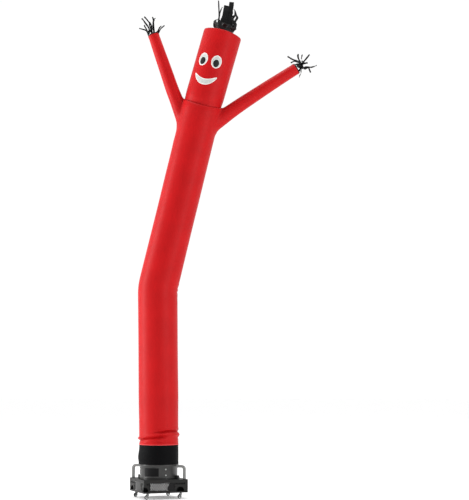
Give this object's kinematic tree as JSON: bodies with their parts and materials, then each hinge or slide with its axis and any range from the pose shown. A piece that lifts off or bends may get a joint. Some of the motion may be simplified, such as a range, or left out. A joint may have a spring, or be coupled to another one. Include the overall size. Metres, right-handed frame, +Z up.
{
  "type": "inflatable air dancer on its blower",
  "caption": "Tall red inflatable tube figure with a smiling face, raised arms and streamer hair, strapped by a black sleeve to a square wheeled blower.",
  "frame": {"origin": "middle of the whole part's outline on the floor", "axes": "+Z up, the front along -Y, the dancer leaning towards +X"},
  "size_m": [2.2349, 0.6948, 5.8692],
  "materials": {
    "red_nylon": "smooth coated nylon",
    "black_nylon": "matt black nylon",
    "streamer": "thin glossy strips",
    "pale_print": "smooth applied cloth",
    "grey_metal": "satin powder coat",
    "black_metal": "matt black coat",
    "zinc": "bright zinc plate",
    "wheel_rubber": "black tread",
    "yellow_cap": "plain yellow cap"
  },
  "bodies": {
    "root": {"leg_tube": "red_nylon", "body_tube": "red_nylon", "arm_left": "red_nylon", "arm_right": "red_nylon", "head_tube": "red_nylon", "head_cap": "red_nylon", "sleeve": "black_nylon", "fingers_left": "streamer", "fingers_right": "streamer", "hair": "streamer", "eye_left": "pale_print", "eye_right": "pale_print", "mouth": "pale_print", "pupil_left": "black_nylon", "pupil_right": "black_nylon", "housing": "grey_metal", "hatch_plate": "grey_metal", "duct": "grey_metal", "outlet_rim": "grey_metal", "handle_left": "grey_metal", "handle_right": "grey_metal", "duct_block_left": "grey_metal", "duct_block_right": "grey_metal", "duct_band": "black_metal", "wire_guard": "black_metal", "sign_plate": "black_metal", "duct_bolt_1": "zinc", "duct_bolt_2": "zinc", "duct_bolt_3": "zinc", "duct_bolt_4": "zinc", "duct_bolt_5": "zinc", "duct_bolt_6": "zinc", "duct_bolt_7": "zinc", "duct_bolt_8": "zinc", "hatch_screw_1": "zinc", "hatch_screw_2": "zinc", "guard_cap": "yellow_cap", "caster_front_plate": "zinc", "caster_front_nut": "zinc", "caster_right_plate": "zinc", "caster_right_nut": "zinc", "caster_back_plate": "zinc", "caster_back_nut": "zinc", "caster_left_plate": "zinc", "caster_left_nut": "zinc"},
    "front_fork": {"caster_front_fork": "zinc"},
    "front_wheel": {"caster_front_wheel": "wheel_rubber"},
    "right_fork": {"caster_right_fork": "zinc"},
    "right_wheel": {"caster_right_wheel": "wheel_rubber"},
    "back_fork": {"caster_back_fork": "zinc"},
    "back_wheel": {"caster_back_wheel": "wheel_rubber"},
    "left_fork": {"caster_left_fork": "zinc"},
    "left_wheel": {"caster_left_wheel": "wheel_rubber"}
  },
  "joints": [
    {"name": "front_swivel", "type": "hinge", "parent": "root", "child": "front_fork", "pos_m": [-0.88236, -0.26234, 0.06], "axis": [0, 0, 1], "continuous": true},
    {"name": "front_spin", "type": "hinge", "parent": "front_fork", "child": "front_wheel", "pos_m": [-0.89546, -0.27152, 0.025], "axis": [-0.5736, 0.8191, 0], "continuous": true},
    {"name": "right_swivel", "type": "hinge", "parent": "root", "child": "right_fork", "pos_m": [-0.50866, -0.11136, 0.06], "axis": [0, 0, 1], "continuous": true},
    {"name": "right_spin", "type": "hinge", "parent": "right_fork", "child": "right_wheel", "pos_m": [-0.52176, -0.12054, 0.025], "axis": [-0.5736, 0.8191, 0], "continuous": true},
    {"name": "back_swivel", "type": "hinge", "parent": "root", "child": "back_fork", "pos_m": [-0.65964, 0.26234, 0.06], "axis": [0, 0, 1], "continuous": true},
    {"name": "back_spin", "type": "hinge", "parent": "back_fork", "child": "back_wheel", "pos_m": [-0.67275, 0.25317, 0.025], "axis": [-0.5736, 0.8191, 0], "continuous": true},
    {"name": "left_swivel", "type": "hinge", "parent": "root", "child": "left_fork", "pos_m": [-1.03334, 0.11136, 0.06], "axis": [0, 0, 1], "continuous": true},
    {"name": "left_spin", "type": "hinge", "parent": "left_fork", "child": "left_wheel", "pos_m": [-1.04645, 0.10218, 0.025], "axis": [-0.5736, 0.8191, 0], "continuous": true}
  ]
}
